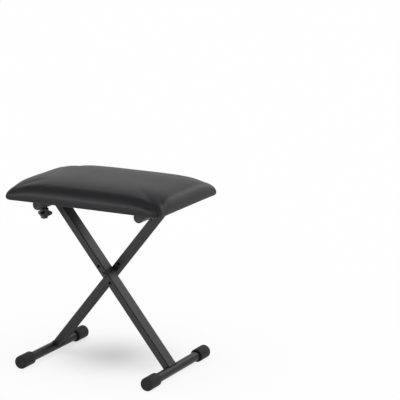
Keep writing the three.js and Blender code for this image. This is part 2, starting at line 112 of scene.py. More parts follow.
class Recipe:
    """A node tree that is being written."""

    def __init__(self, tree):
        self.tree = tree

    def node(self, kind, settings=None, values=None, output=0):
        made = self.tree.nodes.new(kind)
        for key, value in (settings or {}).items():
            setattr(made, key, value)
        for key, value in (values or {}).items():
            self.connect(made.inputs[key], value)
        return Wire(self, made.outputs[output])

    def connect(self, socket, value):
        if isinstance(value, Wire):
            self.tree.links.new(value.socket, socket)
        else:
            socket.default_value = value

    def mix(self, share, low, high):
        """The colour low where share is 0 and high where it is 1."""
        settings = {"data_type": "RGBA", "clamp_factor": True}
        return self.node("ShaderNodeMix", settings, {0: share, 6: low, 7: high}, output=2)


class Finish(Recipe):
    """One finish: a Principled shader with constants of its own, and the nodes that vary it."""

    def __init__(self, name, **constants):
        self.material = bpy.data.materials.new(name)
        self.material.use_nodes = True
        super().__init__(self.material.node_tree)
        self.shader = self.tree.nodes["Principled BSDF"]
        for key, value in constants.items():
            self.shader.inputs[socket_name(key)].default_value = value
        self.place = self.node("ShaderNodeTexCoord", output="Object")

    def feed(self, **inputs):
        for key, value in inputs.items():
            self.connect(self.shader.inputs[socket_name(key)], value)

    def cloud(self, size, detail=2.0, roughness=0.5, stretch=(1, 1, 1)):
        """Soft noise from 0 to 1 with spots of about that size in metres."""
        place = self.stretched(stretch)
        values = {"Vector": place, "Scale": 1 / size, "Detail": detail, "Roughness": roughness}
        return self.node("ShaderNodeTexNoise", values=values)

    def stretched(self, stretch):
        if stretch == (1, 1, 1):
            return self.place
        values = {0: self.place, 1: tuple(1 / s for s in stretch)}
        return self.node("ShaderNodeVectorMath", {"operation": "MULTIPLY"}, values)

    def cells(self, size, feature="F1", randomness=1.0):
        """Distance from the cells' middles, or from their edges, as a share of their size."""
        values = {"Vector": self.place, "Scale": 1 / size, "Randomness": randomness}
        return self.node("ShaderNodeTexVoronoi", {"feature": feature}, values, output="Distance")

    def show(self, shader):
        """Makes that shader, or mix of shaders, the material's surface."""
        self.connect(self.tree.nodes["Material Output"].inputs["Surface"], shader)

    def relief(self, height, depth):
        """A bumpy surface: height runs from 0 to 1 over that depth in metres."""
        values = {"Strength": 1.0, "Distance": depth, "Height": height}
        self.feed(normal=self.node("ShaderNodeBump", values=values))


def socket_name(key):
    return key.replace("_", " ").title().replace("Ior", "IOR")


def grey(level, blue=0.0):
    return (level, level, level + blue, 1.0)


# Finishes

def powder_coat(name, gloss, satin, edge_satin=0.0):
    """Black powder coat: fine orange peel, uneven gloss and a trace of dust. Satin is its roughness."""
    coat = Finish(name, specular_ior_level=gloss)
    peel = coat.cloud(1.1 * MM, detail=3.0)
    patch = coat.cloud(60 * MM, detail=4.0, roughness=0.6)
    dust = coat.cloud(9 * MM, detail=6.0, roughness=0.7).between(0.52, 0.8)
    slant = coat.node("ShaderNodeLayerWeight", values={"Blend": 0.5}, output="Facing")
    steep = slant * slant * slant * slant
    coat.feed(
        base_color=coat.mix(dust * 0.5 + patch * 0.3, grey(0.008, 0.0006), grey(0.018, 0.001)),
        roughness=satin + steep * edge_satin + peel * 0.06 + patch * 0.08 + dust * 0.06,
    )
    coat.relief(peel, 0.06 * MM)
    return coat.material


def cap_rubber():
    """Moulded black rubber: matt, faintly mottled, with scuffs."""
    rubber = Finish("black rubber", specular_ior_level=0.12)
    grain = rubber.cloud(0.5 * MM, detail=3.0)
    mottle = rubber.cloud(14 * MM, detail=5.0, roughness=0.6)
    scuff = rubber.cloud(3 * MM, detail=8.0, roughness=0.75, stretch=(1, 4, 1)).between(0.58, 0.75)
    rubber.feed(
        base_color=rubber.mix(mottle * 0.6 + scuff * 0.5, grey(0.017), grey(0.042)),
        roughness=0.52 + mottle * 0.1 + scuff * 0.15,
    )
    rubber.relief(grain * 0.5 + mottle * 0.5, 0.09 * MM)
    return rubber.material


def moulded_plastic():
    """Black injection-moulded plastic with a fine spark-eroded texture."""
    plastic = Finish("black moulded plastic", specular_ior_level=0.4)
    spark = plastic.cells(0.45 * MM)
    patch = plastic.cloud(25 * MM, detail=3.0)
    plastic.feed(
        base_color=plastic.mix(patch, grey(0.012), grey(0.019)),
        roughness=0.38 + patch * 0.1,
    )
    plastic.relief(spark, 0.03 * MM)
    return plastic.material


def blackened_steel():
    """Oiled black-oxide steel of the pivot hardware."""
    steel = Finish("blackened steel", metallic=0.85)
    bloom = steel.cloud(4 * MM, detail=5.0, roughness=0.6)
    steel.feed(
        base_color=steel.mix(bloom, (0.04, 0.04, 0.044, 1), (0.095, 0.088, 0.083, 1)),
        roughness=0.3 + bloom * 0.16,
    )
    steel.relief(steel.cloud(0.3 * MM), 0.01 * MM)
    return steel.material


def zinc_plate():
    """Bright zinc plate of screws, tee nuts and staples, a little cloudy."""
    zinc = Finish("zinc-plated steel", metallic=1.0)
    cloud = zinc.cloud(3 * MM, detail=4.0)
    lines = zinc.cloud(0.35 * MM, stretch=(1, 1, 12))
    zinc.feed(
        base_color=zinc.mix(cloud, (0.52, 0.54, 0.57, 1), (0.72, 0.73, 0.72, 1)),
        roughness=0.22 + cloud * 0.12 + lines * 0.06,
    )
    zinc.relief(lines, 0.01 * MM)
    return zinc.material


def birch_ply():
    """Plywood: plies along the edge and long grain on the faces."""
    wood = Finish("birch plywood", specular_ior_level=0.3)
    grain = wood.cloud(3 * MM, detail=6.0, roughness=0.65, stretch=(14, 1, 1))
    height = wood.node("ShaderNodeSeparateXYZ", values={0: wood.place}, output="Z")
    ply = (height * (math.tau / (2.4 * MM))).sine().between(-0.4, 0.4)
    light = wood.mix(grain, (0.52, 0.36, 0.2, 1), (0.7, 0.52, 0.32, 1))
    wood.feed(
        base_color=wood.mix(ply * 0.35, light, (0.3, 0.18, 0.09, 1)),
        roughness=0.62 + grain * 0.15,
    )
    wood.relief(grain, 0.12 * MM)
    return wood.material


def dust_cloth():
    """Thin black nonwoven cloth: short pressed fibres and a pattern of weld points."""
    cloth = Finish("black nonwoven cloth", specular_ior_level=0.2)
    fibres = cloth.cloud(0.7 * MM, detail=5.0, roughness=0.7, stretch=(1, 3, 1))
    points = cloth.cells(1.6 * MM, randomness=0.15).between(0.2, 0.34)
    cloth.feed(
        base_color=cloth.mix(fibres.between(0.3, 0.7) * points, grey(0.012), grey(0.05)),
        roughness=0.95 - fibres * 0.1,
    )
    cloth.relief(points * 0.6 + fibres * 0.4, 0.15 * MM)
    return cloth.material


def seat_vinyl():
    """Soft black upholstery vinyl: shallow leather grain, silky sheen, faint handling marks."""
    vinyl = Finish("black seat vinyl", specular_ior_level=0.2)
    pebble = vinyl.cells(1.15 * MM, feature="DISTANCE_TO_EDGE").between(0.0, 0.22)
    pore = vinyl.cloud(0.35 * MM, detail=3.0)
    drift = vinyl.cloud(45 * MM, detail=4.0, roughness=0.55)
    slant = vinyl.node("ShaderNodeLayerWeight", values={"Blend": 0.5}, output="Facing")
    vinyl.feed(
        base_color=vinyl.mix(drift * 0.6 + pore * 0.2, grey(0.015, 0.002), grey(0.023, 0.003)),
        roughness=0.38 + slant * slant * 0.05 + drift * 0.06 + pore * 0.05 - pebble * 0.03,
    )
    vinyl.relief(pebble * 0.75 + pore * 0.25, 0.06 * MM)
    return vinyl.material


FINISHES = {
    "powder_coat": powder_coat("black powder coat", gloss=0.2, satin=0.3),
    "rubber": cap_rubber(),
    "plastic": moulded_plastic(),
    "black_steel": blackened_steel(),
    "zinc_steel": zinc_plate(),
    "plywood": birch_ply(),
    "dust_cloth": dust_cloth(),
    "vinyl": seat_vinyl(),
}
LEG_COAT = powder_coat("black powder coat on the legs", gloss=0.5, satin=0.4, edge_satin=1.1)
SLOT_OF_NODE = {part["node"]: part["material_slot"] for part in frame["record"]["subparts"]}
BODY_OF_NODE = {
    node: body for body, members in frame["record"]["behaviour"]["bodies"].items() for node in members
}


# Making pieces

LATHE_SIDES = 96
MOULDED_EDGE = math.radians(50)


def in_scene(name, data):
    """A new object of the scene that shows a mesh, lamp or camera."""
    thing = bpy.data.objects.new(name, data)
    bpy.context.scene.collection.objects.link(thing)
    return thing


def new_piece(name, points, faces, body, slot):
    """A smooth mesh piece that rides on a body and has the finish of a slot."""
    mesh = bpy.data.meshes.new(name)
    mesh.from_pydata([tuple(p) for p in points], [], [tuple(f) for f in faces])
    mesh.validate()
    piece = in_scene(name, mesh)
    dress(piece, body, slot)
    return piece


def dress(piece, body, slot, material=None):
    """Puts a piece on its body, with the finish of its slot or a material of its own."""
    piece.data.materials.clear()
    piece.data.materials.append(material or FINISHES[slot])
    piece.data.shade_smooth()
    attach(piece, body)


def use_modifier(piece, kind, **settings):
    """Adds a modifier and bakes it into the mesh at once."""
    modifier = piece.modifiers.new(kind.lower(), kind)
    for key, value in settings.items():
        setattr(modifier, key, value)
    depsgraph = bpy.context.evaluated_depsgraph_get()
    result = bpy.data.meshes.new_from_object(piece.evaluated_get(depsgraph))
    piece.modifiers.clear()
    piece.data = result


def tube_faces(levels, count, closed):
    """Faces between rings of points, one after another; closed joins the last ring to the first."""
    faces = []
    for level in range(levels if closed else levels - 1):
        low = level * count
        high = (level + 1) % levels * count
        for i in range(count):
            k = (i + 1) % count
            faces.append((low + i, low + k, high + k, high + i))
    return faces


def swept(path, radii, sides, closed=False):
    """Points and faces of a round bead or wire that follows a path."""
    path = [Vector(p) for p in path]
    middle = sum(path, Vector()) / len(path)
    points = []
    for i, place in enumerate(path):
        before = path[i - 1] if closed or i else place
        after = path[(i + 1) % len(path)] if closed or i + 1 < len(path) else place
        along = (after - before).normalized()
        outward = place - middle
        outward = (outward - along * outward.dot(along)).normalized()
        across = along.cross(outward)
        for side in range(sides):
            turn = math.tau * side / sides
            points.append(place + radii[i] * (outward * math.cos(turn) + across * math.sin(turn)))
    faces = tube_faces(len(path), sides, closed)
    if not closed:
        faces.append(tuple(reversed(range(sides))))
        faces.append(tuple(range(len(points) - sides, len(points))))
    return points, faces


def turned(profile):
    """Points and faces of a lathe-turned form: the profile's (radius, along) pairs go round Z."""
    points = []
    faces = []
    rings = []
    for radius, along in profile:
        if radius == 0:
            rings.append([len(points)] * LATHE_SIDES)
            points.append(Vector((0, 0, along)))
            continue
        rings.append(list(range(len(points), len(points) + LATHE_SIDES)))
        for side in range(LATHE_SIDES):
            turn = math.tau * side / LATHE_SIDES
            points.append(Vector((radius * math.cos(turn), radius * math.sin(turn), along)))
    for low, high in zip(rings, rings[1:]):
        for i in range(LATHE_SIDES):
            k = (i + 1) % LATHE_SIDES
            corners = [low[i], low[k], high[k], high[i]]
            faces.append(tuple(dict.fromkeys(corners)))
    return points, faces


def rounded_corner(middle, radius, start, end, steps=6):
    """Points of an arc of a profile; the angles are in degrees."""
    angles = [math.radians(start + (end - start) * step / steps) for step in range(steps + 1)]
    return [(middle[0] + radius * math.cos(a), middle[1] + radius * math.sin(a)) for a in angles]


def rounded_loop(width, depth, radius, spacing):
    """Points round a rectangle with rounded corners, about that far apart, with its middle at zero."""
    x, y = width / 2 - radius, depth / 2 - radius
    corners = [(x, y, 0), (-x, y, 90), (-x, -y, 180), (x, -y, 270)]
    arc_steps = max(2, round(radius * math.pi / 2 / spacing))
    loop = []
    for i, (cx, cy, start) in enumerate(corners):
        arc = rounded_corner((cx, cy), radius, start, start + 90, arc_steps)
        loop += arc
        nx, ny, turn = corners[(i + 1) % 4]
        begin = Vector(arc[-1])
        finish = Vector(rounded_corner((nx, ny), radius, turn, turn + 90, 1)[0])
        steps = max(1, round((finish - begin).length / spacing))
        loop += [tuple(begin.lerp(finish, step / steps)) for step in range(1, steps)]
    return loop


# Camera: it stands where the photograph was taken from, and looks past the bench to its right.

CAMERA_AZIMUTH = math.radians(30.9)
CAMERA_ELEVATION = math.radians(15.65)
CAMERA_DISTANCE = 4.774
CAMERA_AIM_HEIGHT = 0.230
LOOK_AZIMUTH = math.radians(27.98)
LOOK_ELEVATION = math.radians(13.06)
LENS = 160
SENSOR = 36


def backwards(azimuth, elevation):
    flat = math.cos(elevation)
    return Vector((math.sin(azimuth) * flat, -math.cos(azimuth) * flat, math.sin(elevation)))


def studio_camera():
    data = bpy.data.cameras.new("camera")
    data.lens = LENS
    data.sensor_width = SENSOR
    data.sensor_fit = "HORIZONTAL"
    camera = in_scene("camera", data)
    aim = Vector((0, 0, CAMERA_AIM_HEIGHT))
    camera.location = aim + backwards(CAMERA_AZIMUTH, CAMERA_ELEVATION) * CAMERA_DISTANCE
    camera.rotation_mode = "QUATERNION"
    look = -backwards(LOOK_AZIMUTH, LOOK_ELEVATION)
    camera.rotation_quaternion = look.to_track_quat("-Z", "Y")
    bpy.context.scene.camera = camera


# Studio: white paper on the floor, an even light above, two softboxes that only gloss shows, and a white
# room with a dark ceiling

AMBIENT_LIGHT = 0.55
OVERHEAD_LIGHT = 0.46
OVERHEAD_WIDTH = math.radians(60)
OVERHEAD_FROM = (0.08, -0.134, 0.988)
CEILING_TONE = 0.01
CEILING_MIDDLE = (0.0, -0.32, 0.947)
CEILING_EDGE = (math.cos(math.radians(72)), math.cos(math.radians(54)))
# The softboxes: place, size, glow, and the height that each is aimed at.
SIDE_LAMP = ((-1.5, -2.5, 1.25), (1.8, 0.7), 10.0, cad_bounds[1][2])
BACK_LAMP = ((0.8, 2.7, 1.75), (1.6, 0.7), 3.6, 0)
# Away from the shadow's middle the paper turns evenly white, up to its reach. The start lies below 0, so
# the paper is a little whitened in the middle too.
SHADOW_MIDDLE = (-0.035, 0.06, 0)
SHADOW_START = -0.08
SHADOW_REACH = 0.25
PAPER_WHITENESS = 0.85
PAPER_SIZE = 80


def seen_in_mirrors(recipe):
    """1 for what the camera sees straight, in gloss or through something clear, and 0 for the light."""
    camera_ray = recipe.node("ShaderNodeLightPath", output="Is Camera Ray")
    glossy_ray = recipe.node("ShaderNodeLightPath", output="Is Glossy Ray")
    clear_ray = recipe.node("ShaderNodeLightPath", output="Is Transmission Ray")
    return camera_ray.or_else(glossy_ray).or_else(clear_ray)


def studio_floor():
    """White paper that stays white all round and keeps the bench's shadow."""
    far = PAPER_SIZE / 2
    corners = [(-far, -far, 0), (far, -far, 0), (far, far, 0), (-far, far, 0)]
    mesh = bpy.data.meshes.new("studio_floor")
    mesh.from_pydata(corners, [], [(0, 1, 2, 3)])
    floor = in_scene("studio_floor", mesh)
    paper = Finish("white paper floor", roughness=0.9, specular_ior_level=0.0)
    tone = paper.cloud(400 * MM)
    paper.feed(base_color=paper.mix(tone, grey(0.945), grey(0.955)))
    places = {0: paper.place, 1: SHADOW_MIDDLE}
    distance = paper.node("ShaderNodeVectorMath", {"operation": "DISTANCE"}, places, output="Value")
    whitened = distance.between(SHADOW_START, SHADOW_REACH) * PAPER_WHITENESS * seen_in_mirrors(paper)
    white = paper.node("ShaderNodeEmission", values={"Strength": 1.0})
    plain = Wire(paper, paper.shader.outputs[0])
    paper.show(paper.node("ShaderNodeMixShader", values={0: whitened, 1: plain, 2: white}))
    mesh.materials.append(paper.material)


def overhead_light():
    """A wide soft sun above and a little in front; the seat doesn't mirror its bare disc."""
    data = bpy.data.lights.new("overhead_light", "SUN")
    data.energy = OVERHEAD_LIGHT * math.pi
    data.angle = OVERHEAD_WIDTH
    lamp = in_scene("overhead_light", data)
    lamp.visible_glossy = False
    lamp.rotation_mode = "QUATERNION"
    lamp.rotation_quaternion = Vector(OVERHEAD_FROM).to_track_quat("Z", "Y")


def softbox(name, place, size, glow, aim_height):
    """A softbox that shows only as a light patch in gloss."""
    data = bpy.data.lights.new(name, "AREA")
    data.shape = "RECTANGLE"
    data.size, data.size_y = size
    data.energy = glow * math.pi * data.size * data.size_y
    lamp = in_scene(name, data)
    lamp.visible_camera = False
    lamp.visible_diffuse = False
    lamp.location = place
    lamp.rotation_mode = "QUATERNION"
    aim = Vector((0, 0, aim_height))
    lamp.rotation_quaternion = (aim - lamp.location).to_track_quat("-Z", "Y")


def facing(room, direction, middle, edge):
    """1 round a middle direction of the room, falling to 0 at the outer edge."""
    values = {0: direction, 1: middle}
    nearness = room.node("ShaderNodeVectorMath", {"operation": "DOT_PRODUCT"}, values, output="Value")
    return nearness.between(*edge)


def studio_room():
    """A white room whose ceiling is dark where the seat mirrors it."""
    world = bpy.data.worlds.new("studio_room")
    bpy.context.scene.world = world
    world.use_nodes = True
    room = Recipe(world.node_tree)
    background = world.node_tree.nodes["Background"]
    direction = room.node("ShaderNodeTexCoord", output="Generated")
    mirrored = seen_in_mirrors(room)
    dark = facing(room, direction, CEILING_MIDDLE, CEILING_EDGE) * mirrored
    room.connect(background.inputs["Color"], room.mix(dark, grey(1.0), grey(CEILING_TONE)))
    room.connect(background.inputs["Strength"], AMBIENT_LIGHT + mirrored * (1 - AMBIENT_LIGHT))
    bpy.context.scene.view_settings.view_transform = "Standard"


studio_camera()
studio_floor()
overhead_light()
softbox("side_lamp", *SIDE_LAMP)
softbox("back_lamp", *BACK_LAMP)
studio_room()


# Rigid pieces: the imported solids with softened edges

SHARP_ANGLE = math.radians(32)
FLAT_ANGLE = math.radians(0.5)
SAME_PLACE = 0.002 * MM
ROUNDING_STEPS = 3


def soften(node, width, material=None):
    """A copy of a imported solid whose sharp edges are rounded, standing for it."""
    piece = in_scene(node + "_softened", nodes[node].data.copy())
    work = bmesh.new()
    work.from_mesh(piece.data)
    bmesh.ops.remove_doubles(work, verts=work.verts, dist=SAME_PLACE)
    bmesh.ops.dissolve_limit(work, angle_limit=FLAT_ANGLE, verts=work.verts, edges=work.edges)
    work.to_mesh(piece.data)
    work.free()
    piece.data.shade_smooth()
    use_modifier(
        piece,
        "BEVEL",
        width=width,
        segments=ROUNDING_STEPS,
        limit_method="ANGLE",
        angle_limit=SHARP_ANGLE,
        use_clamp_overlap=True,
    )
    dress(piece, BODY_OF_NODE[node], SLOT_OF_NODE[node], material)
    use_modifier(piece, "WEIGHTED_NORMAL", mode="FACE_AREA", keep_sharp=False)
    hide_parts(node)


for name, node in nodes.items():
    node.data.materials.clear()
    node.data.materials.append(FINISHES[SLOT_OF_NODE[name]])

EDGE_SOFTNESS = {
    "front_leg_tube": 0.3 * MM,
    "rear_leg_tube": 0.3 * MM,
    "front_leg_foot_bar": 0.3 * MM,
    "rear_leg_foot_bar": 0.3 * MM,
    "clamp_bar": 0.3 * MM,
    "hinge_bar": 0.3 * MM,
    "hinge_strap_near": 0.4 * MM,
    "hinge_strap_far": 0.4 * MM,
    "pivot_bolt": 0.3 * MM,
    "pivot_washer": 0.2 * MM,
    "pivot_nut": 0.4 * MM,
    "pivot_spacer": 0.2 * MM,
    "seat_board": 0.8 * MM,
}
for name, width in EDGE_SOFTNESS.items():
    soften(name, width, LEG_COAT if name.endswith("leg_tube") else None)


# Clamp knobs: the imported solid, moulded with round edges

KNOB_CELL = 0.6 * MM
KNOB_SMOOTHING = 0.6
KNOB_SMOOTHING_ROUNDS = 6
KNOB_FACES_KEPT = 0.5


def moulded_knob(node):
    """A copy of a knob's solid whose edges are melted round, standing for it."""
    piece = in_scene(node + "_moulded", nodes[node].data.copy())
    use_modifier(piece, "REMESH", mode="VOXEL", voxel_size=KNOB_CELL)
    use_modifier(piece, "SMOOTH", factor=KNOB_SMOOTHING, iterations=KNOB_SMOOTHING_ROUNDS)
    use_modifier(piece, "DECIMATE", ratio=KNOB_FACES_KEPT)
    dress(piece, BODY_OF_NODE[node], SLOT_OF_NODE[node])
    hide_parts(node)


moulded_knob("clamp_knob_near")
moulded_knob("clamp_knob_far")


# Pieces on the ends of the bars

def bar_size(bar):
    """The middle of a round bar and its radius."""
    low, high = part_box(bar)
    return (low + high) / 2, (high.x - low.x) / 2


def end_piece(node, bar, profile, slot):
    """A turned piece on a bar's end that stands for a node, flattened where it meets the floor."""
    low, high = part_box(node)
    outwards = -1 if low.y < 0 else 1
    end = low.y if outwards < 0 else high.y
    middle, _ = bar_size(bar)
    points, faces = turned(profile)
    placed = []
    for p in points:
        height = max(middle.z + p.x, 0)
        placed.append((middle.x - outwards * p.y, end - outwards * p.z, height))
    piece = new_piece(node + "_moulded", placed, faces, BODY_OF_NODE[node], slot)
    piece.data.set_sharp_from_angle(angle=MOULDED_EDGE)
    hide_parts(node)


# Foot caps: moulded rubber with a raised ring and a dimple on the end. A pair of numbers in a profile is
# a radius and how far in from the end it lies.

CAP_RING_HEIGHT = 0.35 * MM
CAP_DIMPLE = [(0, 0.9 * MM), (4.2 * MM, 0.9 * MM), (5.6 * MM, 0.5 * MM), (6.4 * MM, 0.1 * MM)]
CAP_RING = [(7.2 * MM, 0), (11.5 * MM, 0), (12.3 * MM, 0.25 * MM), (13.1 * MM, CAP_RING_HEIGHT)]
CAP_RIM = 4.2 * MM
CAP_RIM_STEPS = 8
CAP_LIP = 2.6 * MM
CAP_END_WALL = 6 * MM
# The rounded mouth: how much wider than the bore, and how far in from the lip.
CAP_MOUTH = [(1.2 * MM, 0), (0.3 * MM, 0.6 * MM), (0, 1.6 * MM)]


def cap_profile(radius, length, bore):
    """From the dimple in the end over the rim to the lip, and back along the bore."""
    rim_middle = (radius - CAP_RIM, CAP_RIM + CAP_RING_HEIGHT)
    profile = CAP_DIMPLE + CAP_RING + rounded_corner(rim_middle, CAP_RIM, -90, 0, CAP_RIM_STEPS)
    profile += rounded_corner((radius - CAP_LIP, length - CAP_LIP), CAP_LIP, 0, 90)
    profile += [(bore + wider, length - inside) for wider, inside in CAP_MOUTH]
    profile += [(bore, CAP_END_WALL), (0, CAP_END_WALL)]
    return profile


def foot_cap(node):
    low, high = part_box(node)
    bar = node.replace("foot_cap_", "").rsplit("_", 1)[0] + "_foot_bar"
    _, bore = bar_size(bar)
    end_piece(node, bar, cap_profile((high.x - low.x) / 2, high.y - low.y, bore), "rubber")


for name in nodes:
    if name.startswith("foot_cap"):
        foot_cap(name)


# End plugs of the top bars: a rounded head with a shallow dish, and a stem in the bar

PLUG_DISH = [(0, 0.7 * MM), (6.5 * MM, 0.65 * MM), (8.6 * MM, 0.4 * MM), (9.6 * MM, 0.05 * MM)]
PLUG_FLAT = [(10.4 * MM, 0)]
PLUG_RIM = 1.7 * MM
PLUG_RIM_STEPS = 8
PLUG_HEAD_EDGE = 0.3 * MM
PLUG_HEAD_GAP = 0.05 * MM
PLUG_STEM_INSET = 1.8 * MM
PLUG_STEM_EDGE = 1.5 * MM


def end_plug(node):
    low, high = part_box(node)
    bar = "clamp_bar" if "clamp" in node else "hinge_bar"
    bar_low, bar_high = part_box(bar)
    end = low.y if low.y < 0 else high.y
    head = min(abs(end - bar_low.y), abs(end - bar_high.y))
    length = high.y - low.y
    radius = (high.x - low.x) / 2
    stem = radius - PLUG_STEM_INSET
    profile = PLUG_DISH + PLUG_FLAT
    profile += rounded_corner((radius - PLUG_RIM, PLUG_RIM), PLUG_RIM, -90, 0, PLUG_RIM_STEPS)
    profile += [(radius, head - PLUG_HEAD_EDGE), (radius - PLUG_HEAD_EDGE, head - PLUG_HEAD_GAP)]
    profile += [(stem, head - PLUG_HEAD_GAP), (stem, length - PLUG_STEM_EDGE)]
    profile += [(stem - PLUG_STEM_EDGE, length), (0, length)]
    end_piece(node, bar, profile, "plastic")


for name in nodes:
    if name.startswith("end_plug"):
        end_plug(name)


# Weld beads where each leg stands on its bars

TUBE_THICKNESS = 20 * MM
TUBE_DEPTH = 40 * MM
TUBE_CORNER = 3 * MM
BEAD_RADIUS = 1.9 * MM
BEAD_RIPPLE = 0.16
RIPPLE_LENGTH = 2.8 * MM
BEAD_SPACING = 0.6 * MM
BEAD_SIDES = 12


def weld_bead(name, leg, bar, other_bar):
    """A rippled bead along the line where the leg's tube meets the round bar."""
    middle, radius = bar_size(bar)
    other, _ = bar_size(other_bar)
    tube_low, tube_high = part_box(leg + "_tube")
    inwards = (other - middle).normalized()
    across = Vector((inwards.z, 0, -inwards.x))
    middle.y = (tube_low.y + tube_high.y) / 2
    path = []
    for u, v in rounded_loop(TUBE_THICKNESS, TUBE_DEPTH, TUBE_CORNER, BEAD_SPACING):
        lift = math.sqrt(radius ** 2 - u ** 2)
        path.append(middle + across * u + Vector((0, v, 0)) + inwards * lift)
    radii = []
    run = 0.0
    for i, place in enumerate(path):
        run += (place - path[i - 1]).length
        radii.append(BEAD_RADIUS * (1 + BEAD_RIPPLE * math.sin(math.tau * run / RIPPLE_LENGTH)))
    points, faces = swept(path, radii, BEAD_SIDES, closed=True)
    new_piece(name, points, faces, BODY_OF_NODE[leg + "_tube"], "powder_coat")


for leg, top_bar in (("front_leg", "clamp_bar"), ("rear_leg", "hinge_bar")):
    foot_bar = leg + "_foot_bar"
    weld_bead("weld_" + leg + "_foot", leg, foot_bar, top_bar)
    weld_bead("weld_" + leg + "_top", leg, top_bar, foot_bar)


# Seat cushion

cushion_low, cushion_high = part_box("seat_cushion")
SEAT_LENGTH = cushion_high.x - cushion_low.x
SEAT_DEPTH = cushion_high.y - cushion_low.y
# The outline: its corners, and how much tighter they are for each length that it is drawn in
SEAT_CORNER = 18 * MM
CORNER_TIGHTENING = 0.35
TIGHTEST_CORNER = 3 * MM
OUTLINE_CORNER_STEPS = 30
OUTLINE_SIDE_STEPS = (84, 56)
# The side: from the underside, where it is drawn in, out to the widest line
SIDE_HEIGHT = 16 * MM
SIDE_STEPS = 8
DRAW_IN = 4 * MM
# The shoulder: how the cover's slope turns, in degrees, and over which length
SHOULDER_TURNS = (
    (90, 80, 4 * MM),
    (80, 68, 6.5 * MM),
    (68, 60, 7.5 * MM),
    (60, 45, 8.5 * MM),
    (45, 28, 7.5 * MM),
    (28, 12, 10 * MM),
)
SHOULDER_STEPS = 4
# The top: it stays under the solid's crown, because the foam swells, and falls towards the two ends
TOP_SINK = 4.4 * MM
CROWN_POWER = 3.0
CROWN_STEPS = 24
REACH_POWER = 4
END_DROP = 3 * MM
END_DROP_POWER = 4
# The corners: the share of the height that they lose, and how far the cover hangs under them
CORNER_DROP = 0.24
CORNER_DROP_SPREAD = 44 * MM
CORNER_HANG = 0.6 * MM
CORNER_HANG_SPREAD = 40 * MM
# The fold under the board
FOLD_WIDTH = 24 * MM
FOLD_THICKNESS = 1.6 * MM
FOLD_CLEARANCE = 0.6 * MM
BOARD_EDGE = SEAT_LENGTH / 2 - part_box("seat_board")[1].x
FOLD_INSET = BOARD_EDGE + FOLD_WIDTH
# Its inner edge, from the hidden rim down: how far in from the edge, and the height
FOLD_EDGE = (
    (12 * MM, 4 * MM),
    (0.8 * MM, 3.6 * MM),
    (0, FOLD_THICKNESS),
    (-0.3 * MM, 0.6 * MM),
    (-0.9 * MM, 0.15 * MM),
)
# Its underside, towards the seat's side: the inset, and the share of the hang
FOLD_UNDERSIDE = ((22 * MM, 0), (18 * MM, 0.3), (14 * MM, 0.7), (10.5 * MM, 0.95), (8 * MM, 1))


def shoulder_profile():
    """Insets and heights of the shoulder, from the top of the side to the edge of the crown."""
    inset, height = 0.0, SIDE_HEIGHT
    profile = [(inset, height)]
    for start, end, length in SHOULDER_TURNS:
        for step in range(SHOULDER_STEPS):
            slope = math.radians(start + (end - start) * (step + 0.5) / SHOULDER_STEPS)
            inset += math.cos(slope) * length / SHOULDER_STEPS
            height += math.sin(slope) * length / SHOULDER_STEPS
            profile.append((inset, height))
    return profile


SHOULDER_PROFILE = shoulder_profile()
SHOULDER_INSET, SHOULDER_HEIGHT = SHOULDER_PROFILE[-1]
CROWN = cushion_high.z - cushion_low.z - SHOULDER_HEIGHT - TOP_SINK


def seat_outline(inset):
    """Points round the seat, drawn in by an inset."""
    radius = max(SEAT_CORNER - inset * CORNER_TIGHTENING, TIGHTEST_CORNER)
    x = SEAT_LENGTH / 2 - inset - radius
    y = SEAT_DEPTH / 2 - inset - radius
    centres = [(x, y), (-x, y), (-x, -y), (x, -y)]
    points = []
    for corner, (cx, cy) in enumerate(centres):
        for step in range(OUTLINE_CORNER_STEPS):
            turn = math.pi / 2 * (corner + step / OUTLINE_CORNER_STEPS)
            points.append((cx + radius * math.cos(turn), cy + radius * math.sin(turn)))
        turn = math.pi / 2 * (corner + 1)
        nx, ny = centres[(corner + 1) % 4]
        steps = OUTLINE_SIDE_STEPS[corner % 2]
        for step in range(steps):
            share = step / steps
            along_x = cx + (nx - cx) * share
            along_y = cy + (ny - cy) * share
            points.append((along_x + radius * math.cos(turn), along_y + radius * math.sin(turn)))
    return np.array(points)


def reach_share(x, y):
    """0 in the seat's middle and 1 at the shoulder of its four sides; more at the corners."""
    along_x = np.abs(x) / (SEAT_LENGTH / 2 - SHOULDER_INSET)
    along_y = np.abs(y) / (SEAT_DEPTH / 2 - SHOULDER_INSET)
    return (along_x ** REACH_POWER + along_y ** REACH_POWER) ** (1 / REACH_POWER)


def nearness_to_corner():
    """For each point of the outline: 1 at the middle of a corner, falling to 0 along the sides."""
    points = np.abs(seat_outline(0))
    round_off = SEAT_CORNER * (1 - math.sqrt(0.5))
    corner = np.array([SEAT_LENGTH / 2 - round_off, SEAT_DEPTH / 2 - round_off])
    distance = np.linalg.norm(points - corner, axis=1)
    return np.exp(-(distance / CORNER_HANG_SPREAD) ** 2)


NEAR_CORNER = nearness_to_corner()


def top_height(x, y):
    """Height of the crown: it swells in the middle and is lower at the two ends."""
    rise = CROWN * (1 - reach_share(x, y) ** CROWN_POWER)
    return SHOULDER_HEIGHT + rise - END_DROP * np.abs(2 * x / SEAT_LENGTH) ** END_DROP_POWER


def kept_height(x, y):
    """The share of its height that the cushion keeps: all of it, except towards the corners."""
    from_corner = np.hypot(SEAT_LENGTH / 2 - np.abs(x), SEAT_DEPTH / 2 - np.abs(y))
    return 1 - CORNER_DROP * np.exp(-(from_corner / CORNER_DROP_SPREAD) ** 2)


